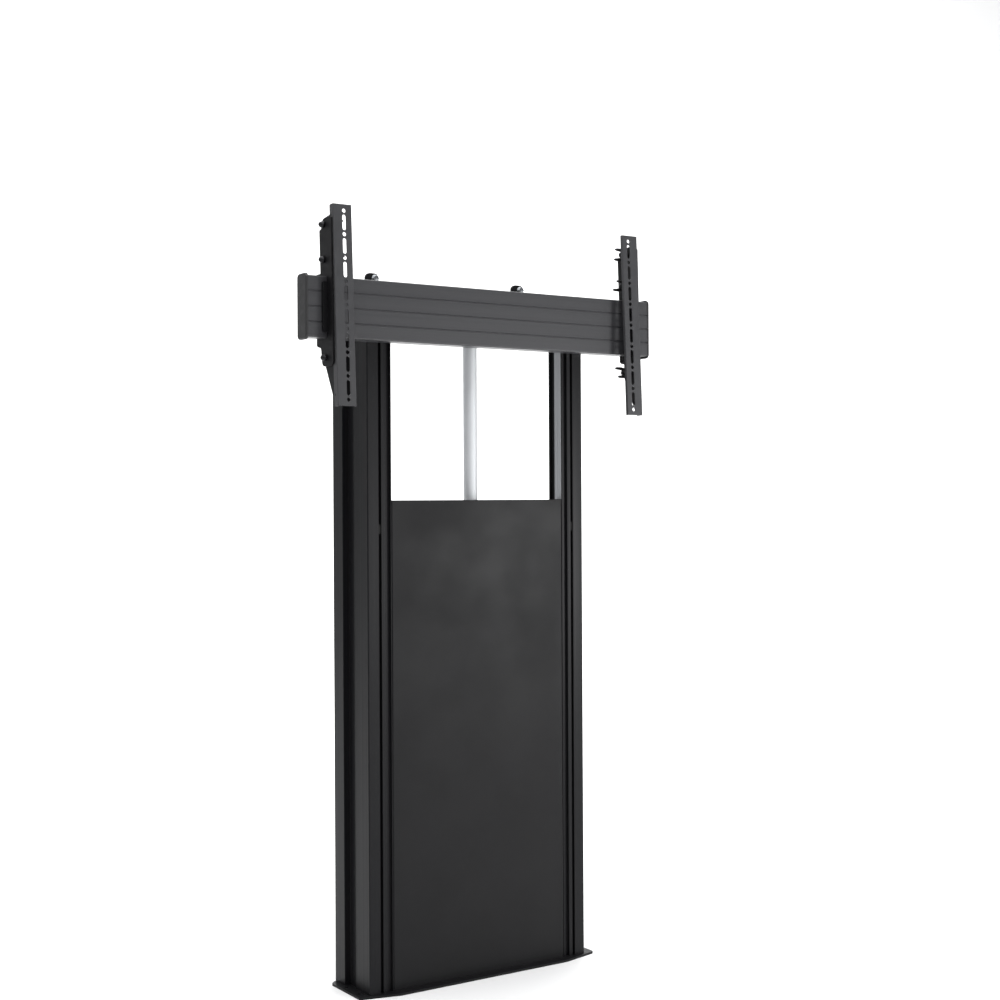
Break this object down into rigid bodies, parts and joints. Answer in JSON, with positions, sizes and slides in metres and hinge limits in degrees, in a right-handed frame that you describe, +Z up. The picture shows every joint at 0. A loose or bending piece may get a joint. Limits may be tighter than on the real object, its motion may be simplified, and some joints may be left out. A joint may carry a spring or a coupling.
{
  "type": "height-adjustable display stand",
  "caption": "Floor stand with grooved columns, a front cover, a counterbalanced sliding crossbar and hooked tilting rails that carry a large flat display.",
  "frame": {"origin": "on the floor under the middle of the object's box", "axes": "+X to the right seen from the front, +Y from the front to the wall, +Z up"},
  "size_m": [0.92, 0.2298, 1.7081],
  "materials": {
    "zinc_screws": "zinc-plated steel",
    "powder_coat_black": "fine matt powder coat",
    "black_screws": "blackened steel",
    "anodised_black": "black anodised extrusion, satin",
    "spring_steel": "ground steel",
    "glide_polymer": "dark grey acetal",
    "moulded_cap": "moulded black plastic",
    "bracket_black": "black powder coat on pressed steel",
    "knob_polymer": "black glass-filled nylon",
    "steel_tube": "grey-black enamelled steel tube",
    "bright_tube": "natural anodised drawn tube",
    "rubber_stop": "black rubber"
  },
  "bodies": {
    "stand": {"base_plate": "powder_coat_black", "column_foot_screws": "zinc_screws", "cover_screws": "black_screws", "front_cover": "powder_coat_black", "gas_spring_cylinder": "spring_steel", "left_column": "anodised_black", "left_column_cap": "moulded_cap", "lower_cross_member": "powder_coat_black", "member_bolts": "zinc_screws", "middle_cross_member": "powder_coat_black", "rear_cross_member": "powder_coat_black", "right_column": "anodised_black", "right_column_cap": "moulded_cap", "strut_bush": "glide_polymer", "strut_clamp": "moulded_cap", "strut_foot_bracket": "powder_coat_black", "strut_foot_pin": "zinc_screws", "strut_foot_plug": "steel_tube", "strut_outer_tube": "steel_tube", "top_cross_member": "powder_coat_black", "travel_stops": "rubber_stop", "wall_brackets": "powder_coat_black", "wall_clamp_bolts": "zinc_screws"},
    "carriage": {"bar_screws": "zinc_screws", "carriage_plate": "powder_coat_black", "crossbar": "anodised_black", "gas_spring_rod": "spring_steel", "guide_shoes": "glide_polymer", "left_end_cap": "moulded_cap", "right_end_cap": "moulded_cap", "shoe_screws": "zinc_screws", "strut_head_bolt": "zinc_screws", "strut_head_bracket": "powder_coat_black", "strut_inner_tube": "bright_tube"},
    "left_hook": {"left_bracket_studs": "black_screws", "left_hook_plate": "bracket_black"},
    "left_rail": {"left_display_rail": "bracket_black", "left_pivot_bush": "glide_polymer", "left_rail_rivets": "black_screws", "left_tilt_plate": "bracket_black"},
    "left_upper_knob_turn": {"left_upper_knob": "knob_polymer"},
    "left_middle_knob_turn": {"left_middle_knob": "knob_polymer"},
    "left_lower_knob_turn": {"left_lower_knob": "knob_polymer"},
    "right_hook": {"right_bracket_studs": "black_screws", "right_hook_plate": "bracket_black"},
    "right_rail": {"right_display_rail": "bracket_black", "right_pivot_bush": "glide_polymer", "right_rail_rivets": "black_screws", "right_tilt_plate": "bracket_black"},
    "right_upper_knob_turn": {"right_upper_knob": "knob_polymer"},
    "right_middle_knob_turn": {"right_middle_knob": "knob_polymer"},
    "right_lower_knob_turn": {"right_lower_knob": "knob_polymer"}
  },
  "joints": [
    {"name": "lift_slide", "type": "slide", "parent": "stand", "child": "carriage", "axis": [0, 0, 1], "range_m": [-0.4, 0]},
    {"name": "left_bracket_slide", "type": "slide", "parent": "carriage", "child": "left_hook", "axis": [1, 0, 0], "range_m": [-0.02, 0.08]},
    {"name": "left_tilt", "type": "hinge", "parent": "left_hook", "child": "left_rail", "pos_m": [-0.38, -0.06813, 1.385], "axis": [1, 0, 0], "range_deg": [-0.4, 5.6]},
    {"name": "left_upper_knob", "type": "hinge", "parent": "left_hook", "child": "left_upper_knob_turn", "pos_m": [-0.38, -0.06213, 1.667], "axis": [1, 0, 0], "continuous": true},
    {"name": "left_middle_knob", "type": "hinge", "parent": "left_hook", "child": "left_middle_knob_turn", "pos_m": [-0.38, -0.06213, 1.593], "axis": [1, 0, 0], "continuous": true},
    {"name": "left_lower_knob", "type": "hinge", "parent": "left_hook", "child": "left_lower_knob_turn", "pos_m": [-0.38, -0.06813, 1.385], "axis": [1, 0, 0], "continuous": true},
    {"name": "right_bracket_slide", "type": "slide", "parent": "carriage", "child": "right_hook", "axis": [1, 0, 0], "range_m": [-0.08, 0.02]},
    {"name": "right_tilt", "type": "hinge", "parent": "right_hook", "child": "right_rail", "pos_m": [0.38, -0.06813, 1.385], "axis": [1, 0, 0], "range_deg": [-0.4, 5.6]},
    {"name": "right_upper_knob", "type": "hinge", "parent": "right_hook", "child": "right_upper_knob_turn", "pos_m": [0.38, -0.06213, 1.667], "axis": [1, 0, 0], "continuous": true},
    {"name": "right_middle_knob", "type": "hinge", "parent": "right_hook", "child": "right_middle_knob_turn", "pos_m": [0.38, -0.06213, 1.593], "axis": [1, 0, 0], "continuous": true},
    {"name": "right_lower_knob", "type": "hinge", "parent": "right_hook", "child": "right_lower_knob_turn", "pos_m": [0.38, -0.06813, 1.385], "axis": [1, 0, 0], "continuous": true}
  ]
}
